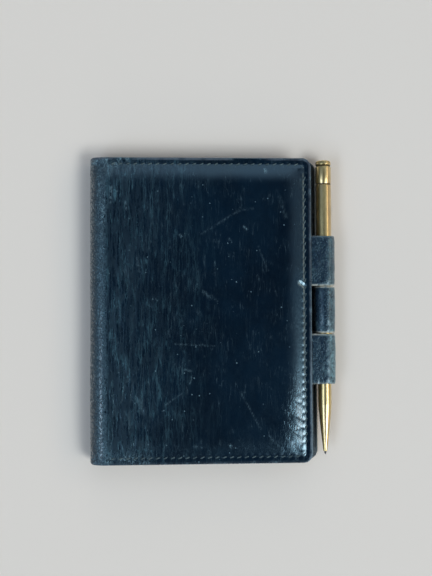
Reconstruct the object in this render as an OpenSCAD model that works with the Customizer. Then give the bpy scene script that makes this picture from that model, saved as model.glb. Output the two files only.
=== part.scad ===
// Pocket agenda holder: a leather cover with a page refill, held shut by a
// twist pencil pushed through three loops at the fore-edge.
// It lies on its back cover. X runs from the spine to the fore-edge, Y to the head, Z up.

/* [Cover] */
// Height of the leather cover, tail to head
cover_height = 125; // [100:1:160]
// Width of the front cover, from the spine crease to its edge
front_width = 84.2; // [75:0.1:100]
// How far the back cover reaches past the front cover
back_reach = 3.5; // [2.5:0.1:4]
// Thickness of the cover leather
leather = 1.1; // [0.8:0.05:1.5]
// Thickness of the board that domes each cover
board = 1.2; // [0.8:0.05:1.8]
// Thickness of the lining
lining = 0.7; // [0.5:0.05:1]
// Width of the flat stitched border
border = 4.4; // [3.5:0.1:6]
// Width of the slope from the border up to the flat of the dome
slope = 5; // [3:0.1:8]
// Corner radius at the fore-edge
fore_corner = 3.6; // [1:0.1:6]
// Corner radius at the head and tail of the spine
spine_corner = 1.2; // [0.5:0.1:2.5]
// How far lining and pocket stop short of the leather's cut edge
edge_step = 0.4; // [0.2:0.05:0.8]

/* [Pockets] */
// Thickness of a pocket
pocket = 1.1; // [0.9:0.05:1.6]
// Depth of the space for the refill's card in a pocket
pocket_recess = 0.45; // [0.4:0.05:0.6]
// Distance from the crease to a pocket's mouth
pocket_start = 30; // [15:1:50]
// How far the back pocket stops short of the leather's edge
back_pocket_step = 1.7; // [1.5:0.05:2.5]

/* [Refill] */
// Thickness of one half of the pages
pages = 2.5; // [1.5:0.1:6]
// How far the pages stop short of the front cover's edge
page_margin = 4.85; // [4.4:0.05:8]
// How far the pages stop short of the cover's head and tail
page_end = 5; // [4.5:0.1:12]
// Corner radius of the pages and cards
page_corner = 4; // [1:0.5:6]
// Distance from the crease to the fold of the refill
fold_x = 2; // [1.5:0.1:3]
// Thickness of a card cover of the refill
card = 0.4; // [0.2:0.05:0.4]
// How far a card cover stands out past the pages
card_lip = 0.8; // [0.3:0.1:1.2]
// Diameter of the sewing thread
thread_dia = 0.5; // [0.3:0.05:0.6]
// Length of one stitch of the sewing
thread_stitch = 20; // [10:1:22]

/* [Loops] */
// Thickness of the loop leather
loop_leather = 1; // [0.7:0.05:1.2]
// Height of the top and the bottom loop
outer_loop = 20; // [14:0.5:24]
// Height of the middle loop
middle_loop = 18.6; // [12:0.2:24]
// Gap between two loops
loop_gap = 1.2; // [0.6:0.1:3]
// Length of a loop's tail inside the cover
loop_tail = 9; // [6:0.5:12]
// Free play between the pencil and a loop
loop_play = 0.2; // [0.15:0.05:0.4]
// Gap between the back cover's edge and the pencil's axis
pencil_reach = 2.5; // [2.3:0.1:3]

/* [Pencil] */
// Diameter of the pencil
pencil_dia = 6.4; // [6:0.1:6.8]
// How far the pencil's top end stays below the cover's head
pencil_inset = 0.1; // [0:0.1:8]
// Length of the twist cap without its end disc
cap_length = 8.7; // [7:0.1:14]
// Thickness of the end disc
disc_height = 1.2; // [0.8:0.1:2]
// Length of the plain barrel
barrel_length = 91.6; // [80:0.1:92]
// Length of the tapered nose
nose_length = 19.5; // [15:0.1:22]
// Diameter of the nose at its tip
nose_tip_dia = 1.9; // [1.7:0.1:2.6]
// Length of lead that stands out of the nose
lead_out = 1.3; // [0.8:0.1:2]
// Diameter of the lead
lead_dia = 0.9; // [0.5:0.1:1.2]
// Wall of the barrel and of the cap
barrel_wall = 0.35; // [0.3:0.05:0.4]
// Wall of the guide tube
tube_wall = 0.35; // [0.3:0.05:0.4]
// Wall of the spiral sleeve
sleeve_wall = 0.4; // [0.35:0.05:0.45]
// Depth of the grooves in the cap
groove = 0.2; // [0.1:0.05:0.25]
// Lead feed for one full turn of the cap
feed_per_turn = 8; // [6:0.5:10]
// Travel of the lead out of the nose, from rest
feed_out = 4.8; // [3:0.1:6]
// Travel of the lead into the nose, from rest
feed_in = 1.2; // [0.8:0.1:1.2]
// Diameter of the carrier's drive pin
drive_pin_dia = 0.7; // [0.5:0.05:0.8]

/* [Hidden] */

navy = [0.07, 0.10, 0.16];
dark_lining = [0.10, 0.12, 0.17];
grey_board = [0.55, 0.53, 0.48];
cream_paper = [0.93, 0.90, 0.80];
blue_card = [0.25, 0.32, 0.42];
gilt = [0.78, 0.66, 0.36];
steel = [0.62, 0.62, 0.60];
graphite = [0.15, 0.15, 0.16];

// Clearances
fit = 0.03;           // between glued or sewn layers
play = 0.05;          // between pages and what they lie on
run = 0.1;            // radial running clearance inside the pencil
slot_play = 0.1;      // beside the drive pin in its slots
rivet_r = 0.6;        // of the rivet that holds the end disc
strip_gap = 0.1;      // between two strips of the spine
cut = 1;              // how far a cutting shape runs past what it cuts
clear = 0.6;          // how far a cutting shape stays off a round that it mustn't touch

// Heights of the layers above the lowest point, the same from the top down
lining_z = leather + board;
pocket_z = lining_z + lining;
pages_z = pocket_z + pocket;
mid_z = pages_z + pages;
thickness = 2 * mid_z;

// The spine is half a tube in strips that turn on its outer face
spine_strips = 2;
strip_angle = 180 / spine_strips;
spine_r = mid_z;

back_width = front_width + back_reach;
pencil_x = back_width + pencil_reach;
pencil_r = pencil_dia / 2;
loop_r = pencil_r + loop_play;
loop_outer_r = loop_r + loop_leather;

// The row's origin is under the middle of its box
centre_x = (pencil_x + loop_outer_r - spine_r) / 2;

// Steps of the smooth curves
slope_steps = 8;
corner_steps = 8;
$fn = 64;

// Places along the pencil, measured along Y
pencil_top = cover_height / 2 - pencil_inset;
disc_y = pencil_top - disc_height;
cap_y = disc_y - cap_length;
nose_y = cap_y - barrel_length;
tip_y = nose_y - nose_length;
lead_y = tip_y - lead_out;

// Radii inside the pencil, from the barrel's bore inwards
bore_r = pencil_r - barrel_wall;
sleeve_r = bore_r - run;
sleeve_bore_r = sleeve_r - sleeve_wall;
tube_r = sleeve_bore_r - run;
tube_bore_r = tube_r - tube_wall;
carrier_r = tube_bore_r - run;
drive_r = drive_pin_dia / 2;
drive_y = cap_y - 5.5;
shoulder = 5;          // length of the nose's spigot inside the barrel
turn_per_mm = 360 / feed_per_turn;

// Middle of each loop along Y
outer_loop_y = (middle_loop + outer_loop) / 2 + loop_gap;

// Places of what lies inside
pages_x = fold_x + 0.35;
page_width = front_width - page_margin - pages_x;
page_height = cover_height - 2 * page_end;
card_end = pages_x + page_width + card_lip;
card_height = page_height + 2 * card_lip;

module placed() { translate([-centre_x, 0, 0]) children(); }

// Turns a piece of the back over to the front
module on_front() { translate([0, 0, thickness]) mirror([0, 0, 1]) children(); }

// Height of the cover's outer face above the table, at a distance from its cut edge
function rise(d) =
    d <= border ? board :
    d >= border + slope ? 0 :
    board * (1 + cos(180 * (d - border) / slope)) / 2;

function slope_at(i) = border + slope * i / slope_steps;

// Points of a quarter circle, from angle a
function quarter(x, y, r, a) =
    [for (i = [0 : corner_steps]) let (t = a + 90 * i / corner_steps) [x + r * cos(t), y + r * sin(t)]];

// A sheet from x0 to x1, symmetric in Y, with its own radius at each side
module sheet(x0, x1, height, left_r, right_r) {
    h = height / 2;
    polygon(concat(
        quarter(x1 - right_r, h - right_r, right_r, 0),
        left_r > 0 ? quarter(x0 + left_r, h - left_r, left_r, 90) : [[x0, h]],
        left_r > 0 ? quarter(x0 + left_r, left_r - h, left_r, 180) : [[x0, -h]],
        quarter(x1 - right_r, right_r - h, right_r, 270)));
}

// Space above the domed face across the cover's width, lifted by some height, up to z = top
module above_width(width, lift, top) {
    rotate([90, 0, 0]) linear_extrude(cover_height + 2 * cut, center = true)
        polygon(concat(
            [[-spine_r - cut, lift]],
            [for (i = [slope_steps : -1 : 0]) [width - slope_at(i), lift + rise(slope_at(i))]],
            [[width + cut, lift + board], [width + cut, top], [-spine_r - cut, top]]));
}

// Points of the slope at the head (side = 1) or the tail (side = -1), from the edge inwards
function end_slope(lift, side) =
    [for (i = [0 : slope_steps]) [side * (cover_height / 2 - slope_at(i)), lift + rise(slope_at(i))]];
function backwards(list) = [for (i = [len(list) - 1 : -1 : 0]) list[i]];

// Space above the domed face along the cover's height, lifted by some height, up to z = top
module above_height(width, lift, top) {
    end = cover_height / 2 + cut;
    left = -spine_r - cut;
    translate([left, 0, 0]) rotate([90, 0, 90]) linear_extrude(width + cut - left)
        polygon(concat(
            [[-end, lift + board]], end_slope(lift, -1), backwards(end_slope(lift, 1)),
            [[end, lift + board], [end, top], [-end, top]]));
}

// Domed leather of one cover: flat border, slope and flat middle, at one thickness
module domed_leather(width) {
    difference() {
        intersection() {
            above_width(width, 0, lining_z);
            above_height(width, 0, lining_z);
            linear_extrude(lining_z) sheet(0, width, cover_height, 0, fore_corner);
        }
        intersection() {
            above_width(width, leather, lining_z + cut);
            above_height(width, leather, lining_z + cut);
        }
    }
}

// Board or padding that fills the dome, with feathered edges
module dome_board(width) {
    inset = border + slope * 0.45;
    intersection() {
        above_width(width, leather + fit, lining_z + cut);
        above_height(width, leather + fit, lining_z + cut);
        translate([0, 0, leather]) linear_extrude(board - fit)
            sheet(fit, width - inset, cover_height - 2 * inset, 1, fore_corner);
    }
}

// Cut-out in a lining for a loop's tail
module tail_cut(width, y, height) {
    translate([width - loop_tail - fit, y - height / 2 - fit, lining_z - cut])
        cube([loop_tail + cut, height + 2 * fit, lining + 2 * cut]);
}

module lining_sheet(width) {
    translate([0, 0, lining_z + fit]) linear_extrude(lining - fit)
        sheet(0, width - edge_step, cover_height - 2 * edge_step, 0, fore_corner - edge_step);
}

// Pocket sewn down on three sides, with a shallow space for the card and its mouth to the spine
module pocket_sheet(end) {
    difference() {
        translate([0, 0, pocket_z + fit]) linear_extrude(pocket - fit)
            sheet(pocket_start, end, cover_height - 2 * edge_step, 0, fore_corner - edge_step);
        translate([0, 0, pocket_z - cut]) linear_extrude(pocket_recess + cut)
            sheet(pocket_start - cut, card_end + card_lip, card_height + card_lip, 0, page_corner);
    }
}

module refill_card() {
    translate([0, 0, pocket_z + fit]) linear_extrude(card)
        sheet(pages_x, card_end, card_height, 0, page_corner);
}

module page_block() {
    translate([0, 0, pages_z + play]) linear_extrude(pages - 2 * play)
        sheet(pages_x, pages_x + page_width, page_height, 0, page_corner);
}

// Strap round the pencil with both ends sewn into the cover, seen along Y
module loop_section(width) {
    tail_bottom = lining_z + 2 * fit;
    tail_top = pocket_z - fit;
    difference() {
        union() {
            translate([pencil_x, mid_z]) circle(loop_outer_r);
            polygon([
                [width - loop_tail, tail_bottom],
                [pencil_x - loop_leather, tail_bottom],
                [pencil_x - loop_outer_r * 0.6, mid_z - loop_outer_r * 0.7],
                [pencil_x - loop_r - loop_leather / 2, mid_z],
                [min(width, pencil_x - loop_outer_r - 1) + 0.2, tail_top],
                [width - loop_tail, tail_top]
            ]);
        }
        translate([pencil_x, mid_z]) circle(loop_r);
    }
}

module pencil_loop(width, y, height) {
    translate([0, y + height / 2, 0]) rotate([90, 0, 0]) linear_extrude(height) loop_section(width);
}

// Tube along Y round the spine's centre line, r thick from inner to outer
module spine_rod(r) {
    translate([0, 0, mid_z]) rotate([90, 0, 0]) cylinder(r = r, h = cover_height + 2 * cut, center = true);
}

// Everything inside the rounded spine, at some depth below its outer face. Its ends draw in
// like the covers' slopes, and between them it is clear of the round, which decides there.
module spine_ends(depth) {
    end = cover_height / 2 + cut;
    clear_y = cover_height / 2 - border - slope - clear;
    translate([-spine_r - cut, 0, 0]) rotate([90, 0, 90]) linear_extrude(spine_r + 2 * cut)
        polygon(concat(
            [[-end, depth + board]], end_slope(depth, -1),
            [[-clear_y, depth - clear], [clear_y, depth - clear]],
            backwards(end_slope(depth, 1)), [[end, depth + board]],
            [[end, mid_z + cut], [-end, mid_z + cut]]));
}
module spine_inside(depth) {
    intersection() {
        spine_rod(spine_r - depth);
        union() {
            spine_ends(depth);
            on_front() spine_ends(depth);
        }
    }
}

// One strip's share of the spine, a wedge along Y, with half a gap at each side
module strip_wedge(i) {
    a = 270 - i * strip_angle;
    b = a - strip_angle;
    mid = (a + b) / 2;
    lean = strip_gap / 2;
    apex = lean / sin(strip_angle / 2);
    reach = 2 * spine_r;
    translate([0, 0, mid_z]) rotate([90, 0, 0]) linear_extrude(cover_height + 4 * cut, center = true)
        polygon([
            [apex * cos(mid), apex * sin(mid)],
            [reach * cos(a) + lean * sin(a), reach * sin(a) - lean * cos(a)],
            [reach * cos(mid) * 1.5, reach * sin(mid) * 1.5],
            [reach * cos(b) - lean * sin(b), reach * sin(b) + lean * cos(b)]
        ]);
}

module spine_outline(step) {
    translate([0, 0, -cut]) linear_extrude(thickness + 2 * cut)
        sheet(-spine_r + step - fit, spine_r, cover_height - 2 * step, spine_corner, spine_corner);
}

module spine_leather(i) {
    color(navy) placed() difference() {
        intersection() {
            spine_inside(0);
            strip_wedge(i);
            spine_outline(0);
        }
        spine_inside(leather);
    }
}

module spine_lining(i) {
    color(dark_lining) placed() difference() {
        intersection() {
            spine_inside(leather + fit);
            strip_wedge(i);
            spine_outline(edge_step);
        }
        spine_inside(leather + lining);
    }
}

module back_leather() { color(navy) placed() domed_leather(back_width); }
module front_leather() { color(navy) placed() on_front() domed_leather(front_width); }

module back_board() { color(grey_board) placed() dome_board(back_width); }
module front_board() { color(grey_board) placed() on_front() dome_board(front_width); }

module back_lining() {
    color(dark_lining) placed() difference() {
        lining_sheet(back_width);
        tail_cut(back_width, 0, middle_loop);
    }
}

module front_lining() {
    color(dark_lining) placed() on_front() difference() {
        lining_sheet(front_width);
        for (side = [-1, 1]) tail_cut(front_width, side * outer_loop_y, outer_loop);
    }
}

// The back pocket is notched where the middle loop rises to the pencil
module back_pocket() {
    notch_x = pencil_x - loop_outer_r - 2.5;
    color(navy) placed() difference() {
        pocket_sheet(back_width - back_pocket_step);
        translate([notch_x, -middle_loop / 2 - loop_gap / 2, pocket_z - cut])
            cube([loop_tail, middle_loop + loop_gap, pocket + 2 * cut]);
    }
}

module front_pocket() { color(navy) placed() on_front() pocket_sheet(front_width - edge_step); }

module middle_pencil_loop() { color(navy) placed() pencil_loop(back_width, 0, middle_loop); }
module top_pencil_loop() {
    color(navy) placed() on_front() pencil_loop(front_width, outer_loop_y, outer_loop);
}
module bottom_pencil_loop() {
    color(navy) placed() on_front() pencil_loop(front_width, -outer_loop_y, outer_loop);
}

module refill_back_card() { color(blue_card) placed() refill_card(); }
module refill_front_card() { color(blue_card) placed() on_front() refill_card(); }
module rear_pages() { color(cream_paper) placed() page_block(); }
module front_pages() { color(cream_paper) placed() on_front() page_block(); }

// Sewing along the fold, which the front pages turn about
module refill_thread() {
    stitches = floor(page_height / (thread_stitch + 2));
    pitch = page_height / stitches;
    color(cream_paper) placed() for (i = [0 : stitches - 1])
        translate([fold_x, (i + 0.5) * pitch - page_height / 2, mid_z]) rotate([90, 0, 0])
            cylinder(d = thread_dia, h = thread_stitch, center = true);
}

// Places a shape turned about Z on the pencil's axis, with Z along Y
module on_pencil() { placed() translate([pencil_x, 0, mid_z]) rotate([-90, 0, 0]) children(); }

// Profile points are [radius, place along the pencil]
module turned(points) { rotate_extrude() polygon(points); }

module pencil_barrel() {
    color(gilt) on_pencil() turned([
        [bore_r, nose_y], [pencil_r, nose_y], [pencil_r, cap_y - 0.6],
        [pencil_r - groove, cap_y - 0.4], [pencil_r - groove, cap_y - play], [bore_r, cap_y - play]
    ]);
}

// Radius of the nose along its taper, full at the barrel and slim at the tip
function nose_r(t) = nose_tip_dia / 2 + (pencil_r - nose_tip_dia / 2) * (1 - pow(t, 1.25));

module pencil_nose_cone() {
    steps = 10;
    lead_bore_r = lead_dia / 2 + run;
    seat = nose_y + shoulder;
    color(gilt) on_pencil() turned(concat(
        [[bore_r - fit, seat], [bore_r - fit, nose_y - fit]],
        [for (i = [0 : steps]) [nose_r(i / steps), nose_y - fit - (nose_length - fit) * i / steps]],
        [[lead_bore_r, tip_y], [lead_bore_r, nose_y - 1], [tube_r + fit, nose_y - 1], [tube_r + fit, seat]]));
}

// Straight slot that keeps the lead carrier from turning
module pencil_guide_tube() {
    top = drive_y + feed_in + drive_pin_dia + 3;
    slot_w = drive_pin_dia + 2 * slot_play;
    color(steel) on_pencil() difference() {
        turned([[tube_bore_r, nose_y - 1 + fit], [tube_r, nose_y - 1 + fit], [tube_r, top], [tube_bore_r, top]]);
        translate([0, -slot_w / 2, drive_y - feed_out - slot_w / 2 - slot_play])
            cube([pencil_r, slot_w, feed_out + feed_in + slot_w + 2 * slot_play]);
    }
}

// Cap with a ring groove near its top and a fine one at its joint
module pencil_twist_cap() {
    ring_y = disc_y - 1.7;
    color(gilt) on_pencil() turned([
        [sleeve_r + fit, cap_y + play], [pencil_r, cap_y + play],
        [pencil_r, ring_y], [pencil_r - groove, ring_y + 0.2], [pencil_r - groove, ring_y + 0.8],
        [pencil_r, ring_y + 1], [pencil_r, disc_y], [rivet_r, disc_y], [rivet_r, disc_y - 1],
        [sleeve_r + fit, disc_y - 1]
    ]);
}

// Domed disc riveted into the top of the cap
module pencil_end_disc() {
    steps = 6;
    rim = pencil_r - groove;
    color(gilt) on_pencil() turned(concat(
        [[0, disc_y - 0.8], [rivet_r - fit, disc_y - 0.8], [rivet_r - fit, disc_y + fit], [rim, disc_y + fit]],
        [for (i = [0 : steps]) let (t = 90 * i / steps)
            [rim * cos(t), disc_y + disc_height / 2 + disc_height / 2 * sin(t)]]));
}

// Sleeve fixed in the cap; its helical slot drives the pin along the straight one
module pencil_spiral_sleeve() {
    low = drive_y - feed_out - 4;
    top = disc_y - 1 - fit;
    past = drive_r + slot_play;
    height = feed_out + feed_in + 2 * past;
    // half the slot's width round the sleeve, from the helix angle
    lead_angle = atan(feed_per_turn / (2 * PI * sleeve_r));
    half_turn = past / sin(lead_angle) / sleeve_bore_r * 180 / PI;
    far = pencil_r / cos(half_turn);
    color(steel) on_pencil() difference() {
        turned([[sleeve_bore_r, low], [sleeve_r, low], [sleeve_r, top], [sleeve_bore_r, top]]);
        translate([0, 0, drive_y - feed_out - past])
            rotate([0, 0, -(feed_out + past) * turn_per_mm])
                linear_extrude(height, twist = -height * turn_per_mm, slices = 24)
                    polygon([[0.2, 0], [far * cos(half_turn), -far * sin(half_turn)],
                        [far, 0], [far * cos(half_turn), far * sin(half_turn)]]);
    }
}

// Rod with the drive pin, which pushes the lead
module pencil_lead_carrier() {
    rod_top = drive_y + 2;
    rod_low = nose_y + feed_out + 12;
    color(steel) on_pencil() {
        union() {
            turned([[0, rod_low], [carrier_r, rod_low], [carrier_r, rod_top], [0, rod_top]]);
            translate([0, 0, drive_y]) rotate([0, 90, 0])
                cylinder(r = drive_r, h = sleeve_r - 0.05, $fn = 24);
        }
    }
}

module pencil_lead() {
    top = nose_y + feed_out + 12 - fit;
    r = lead_dia / 2;
    color(graphite) on_pencil()
        turned([[0, lead_y], [r * 0.4, lead_y], [r, lead_y + 0.9], [r, top], [0, top]]);
}

back_leather();
back_board();
back_lining();
back_pocket();
middle_pencil_loop();
refill_back_card();
rear_pages();
refill_thread();
spine_leather(0);  // spine_leather_1
spine_leather(1);  // spine_leather_2
spine_lining(0);  // spine_lining_1
spine_lining(1);  // spine_lining_2
front_leather();
front_board();
front_lining();
front_pocket();
top_pencil_loop();
bottom_pencil_loop();
refill_front_card();
front_pages();
pencil_barrel();
pencil_nose_cone();
pencil_guide_tube();
pencil_twist_cap();
pencil_end_disc();
pencil_spiral_sleeve();
pencil_lead_carrier();
pencil_lead();
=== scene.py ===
import math
import bpy
import numpy as np
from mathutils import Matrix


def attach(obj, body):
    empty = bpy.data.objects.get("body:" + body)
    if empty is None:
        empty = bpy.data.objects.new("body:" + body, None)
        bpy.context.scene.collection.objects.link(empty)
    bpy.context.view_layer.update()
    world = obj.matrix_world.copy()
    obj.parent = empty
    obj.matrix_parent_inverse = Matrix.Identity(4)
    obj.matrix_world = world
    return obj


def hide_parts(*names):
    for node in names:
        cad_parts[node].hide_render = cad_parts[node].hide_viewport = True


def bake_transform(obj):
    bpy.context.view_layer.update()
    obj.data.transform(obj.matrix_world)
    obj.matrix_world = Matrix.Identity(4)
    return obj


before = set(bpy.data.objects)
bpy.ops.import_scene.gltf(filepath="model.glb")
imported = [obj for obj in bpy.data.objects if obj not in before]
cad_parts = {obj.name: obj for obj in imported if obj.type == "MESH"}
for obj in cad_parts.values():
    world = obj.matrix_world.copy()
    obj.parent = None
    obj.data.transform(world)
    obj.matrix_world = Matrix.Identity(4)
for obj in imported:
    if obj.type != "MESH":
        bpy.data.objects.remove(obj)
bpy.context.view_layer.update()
print("frame loaded,", len(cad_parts), "nodes")

# All sizes are in millimetres from the front cover's crease at the spine, as in the part's source
mm = 0.001
centreX = 44.0      # the frame's origin lies this far from the crease
noiseTable = 64     # random heights a side, which repeat beyond it
innerStep = 4       # a sheet's inner face keeps every fourth point of its outer one
colourLow, colourHigh, colourOut = 6, 7, 2      # the Mix node's sockets for colours


# Noise and meshes

def smooth(t):
    return t * t * (3 - 2 * t)


def ease(value, low, high):
    # 0 at low, 1 at high and a smooth step between them; low may be the larger of the two
    return smooth(np.clip((value - low) / (high - low), 0, 1))


def bell(value, middle, half):
    # 1 at the middle and falling off to both sides: e to minus the square of (distance / half)
    return np.exp(-((value - middle) / half) ** 2)


def drift(x, y, seed):
    # Smooth noise from -1 to 1: random heights at whole numbers, eased in between
    heights = np.random.default_rng(seed).uniform(-1, 1, (noiseTable, noiseTable))
    column, row = np.floor(x).astype(int), np.floor(y).astype(int)
    a, b = smooth(x - column), smooth(y - row)
    corners = [heights[(column + i) % noiseTable, (row + j) % noiseTable] for j in (0, 1) for i in (0, 1)]
    near = corners[0] * (1 - a) + corners[1] * a
    far = corners[2] * (1 - a) + corners[3] * a
    return near * (1 - b) + far * b


def ridges(x, y, seed):
    # Thin branching lines, 1 on a line and falling off beside it: one minus the size of two noises
    steep = 2.2
    wide = np.clip(1 - np.abs(drift(x, y, seed)) * steep, 0, 1)
    slim = np.clip(1 - np.abs(drift(x * 1.9 + 7.3, y * 1.6 + 2.1, seed + 1)) * steep, 0, 1)
    return wide ** 2 + 0.5 * slim ** 2


def roundInset(past, radius):
    # How far a rounded corner draws in, past its start: radius - root(radius^2 - past^2)
    past = np.clip(past, 0, radius)
    return radius - np.sqrt(np.maximum(radius ** 2 - past ** 2, 0))


def spread(stops):
    # Line positions from stops of (place, spacing there); the spacing runs evenly from stop to stop, and
    # the number of spaces is a multiple of the inner step
    samples = 6000
    places, steps = np.array(stops, float).T
    fine = np.linspace(places[0], places[-1], samples)
    count = np.concatenate([[0], np.cumsum(np.diff(fine) / np.interp(fine[1:], places, steps))])
    number = int(math.ceil(count[-1] / innerStep)) * innerStep
    return np.interp(np.linspace(0, count[-1], number + 1), count, fine)


def bothSides(stops):
    # The same stops on the negative side too
    return [(-place, step) for place, step in stops[::-1]] + stops


def addPiece(name, points, faces, material, body, slot, replaced=(), values=None, seams=None,
             sharp=None, blend=None):
    # Puts points (mm) and arrays of faces into a mesh at the origin, and ties it to its body
    mesh = bpy.data.meshes.new(name)
    place = (np.asarray(points, float) - [centreX, 0, 0]) * mm
    corners = np.concatenate([f.ravel() for f in faces])
    sizes = np.concatenate([np.full(len(f), f.shape[1]) for f in faces])
    starts = np.concatenate([[0], np.cumsum(sizes)[:-1]])
    mesh.vertices.add(len(place))
    mesh.vertices.foreach_set("co", place.astype(np.float32).ravel())
    mesh.loops.add(len(corners))
    mesh.loops.foreach_set("vertex_index", corners.astype(np.int32))
    mesh.polygons.add(len(sizes))
    mesh.polygons.foreach_set("loop_start", starts.astype(np.int32))
    mesh.update(calc_edges=True)
    mesh.validate()
    mesh.polygons.foreach_set("use_smooth", np.ones(len(mesh.polygons), bool))
    for key, value in (values or {}).items():
        attribute = mesh.attributes.new(key, "FLOAT", "POINT")
        attribute.data.foreach_set("value", np.asarray(value, np.float32).ravel())
    if sharp:
        mesh.set_sharp_from_angle(angle=math.radians(sharp))
    if seams is not None:
        normals = np.zeros(len(place) * 3, np.float32)
        mesh.vertices.foreach_get("normal", normals)
        normals = normals.reshape(-1, 3)
        normals[seams[0]] = seams[1]
        mesh.normals_split_custom_set_from_vertices(normals.tolist())
    piece = bpy.data.objects.new(name, mesh)
    bpy.context.scene.collection.objects.link(piece)
    mesh.materials.append(material)
    if blend:
        start, end = ([(blend[key][0] - centreX) * mm, 0, blend[key][1] * mm] for key in ("start", "end"))
        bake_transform(piece)
    else:
        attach(piece, body)
    if replaced:
        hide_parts(*replaced)


def gridFaces(rows, cols, first=0, wrapRows=False, wrapCols=False, flip=False):
    # Four-cornered faces between the points of a grid stored row by row
    index = first + np.arange(rows * cols).reshape(rows, cols)
    if wrapRows:
        index = np.concatenate([index, index[:1]])
    if wrapCols:
        index = np.concatenate([index, index[:, :1]], 1)
    quads = np.stack([index[:-1, :-1], index[1:, :-1], index[1:, 1:], index[:-1, 1:]], -1).reshape(-1, 4)
    return quads[:, ::-1] if flip else quads


def gridBorder(rows, cols, first=0):
    # The points on a grid's border, once round in the order in which its faces turn
    index = first + np.arange(rows * cols).reshape(rows, cols)
    return np.concatenate([index[:-1, 0], index[-1, :-1], index[:0:-1, -1], index[0, :0:-1]])


def addSheet(name, outer, inner, material, body, slot, replaced, values, flip=False, **more):
    # A closed sheet: a fine outer grid, a coarse inner one that takes every step-th point, and walls
    # of triangles from each coarse border edge to the fine ones over it
    step = innerStep
    few = inner[::step, ::step]
    grid, coarse = outer.shape[:2], few.shape[:2]
    first = grid[0] * grid[1]
    rimOut, here = gridBorder(*grid), gridBorder(*coarse, first)
    there = np.roll(here, -1)
    over = [rimOut[(np.arange(len(here)) * step + k) % len(rimOut)] for k in range(step + 1)]
    walls = [np.stack([over[k + 1], over[k], here if k < step // 2 else there], -1) for k in range(step)]
    walls.append(np.stack([over[step // 2], here, there], -1))
    faces = [gridFaces(*grid), gridFaces(*coarse, first=first, flip=True), np.concatenate(walls)]
    if flip:
        faces = [f[:, ::-1] for f in faces]
    points = np.concatenate([outer.reshape(-1, 3), few.reshape(-1, 3)])
    values = {key: np.concatenate([v.ravel(), v[::step, ::step].ravel()]) for key, v in values.items()}
    addPiece(name, points, faces, material, body, slot, replaced, values, **more)


# Materials

class Wire:
    # A socket that can be reckoned with: each sum adds a Math node
    def __init__(self, recipe, socket):
        self.recipe, self.socket = recipe, socket

    def reckon(self, operation, other=0.0, swapped=False):
        pair = (other, self) if swapped else (self, other)
        return self.recipe.add("Math", {"operation": operation}, {0: pair[0], 1: pair[1]})

    def __add__(self, other):
        return self.reckon("ADD", other)

    def __sub__(self, other):
        return self.reckon("SUBTRACT", other)

    def __rsub__(self, other):
        return self.reckon("SUBTRACT", other, swapped=True)

    def __mul__(self, other):
        return self.reckon("MULTIPLY", other)

    def __truediv__(self, other):
        return self.reckon("DIVIDE", other)

    def __pow__(self, other):
        return self.reckon("POWER", other)

    __radd__, __rmul__ = __add__, __mul__

    def least(self, other):
        return self.reckon("MINIMUM", other)

    def most(self, other):
        return self.reckon("MAXIMUM", other)

    def size(self):
        return self.reckon("ABSOLUTE")

    def ease(self, low, high):
        # 0 at low, 1 at high; low may be the larger of the two
        if low > high:
            return 1 - self.ease(high, low)
        return self.recipe.add("MapRange", {"interpolation_type": "SMOOTHSTEP"}, {0: self, 1: low, 2: high})

    def line(self):
        # 1 where the noise crosses its middle, falling off to both sides
        return 1 - (self * 2 - 1).size()


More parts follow.
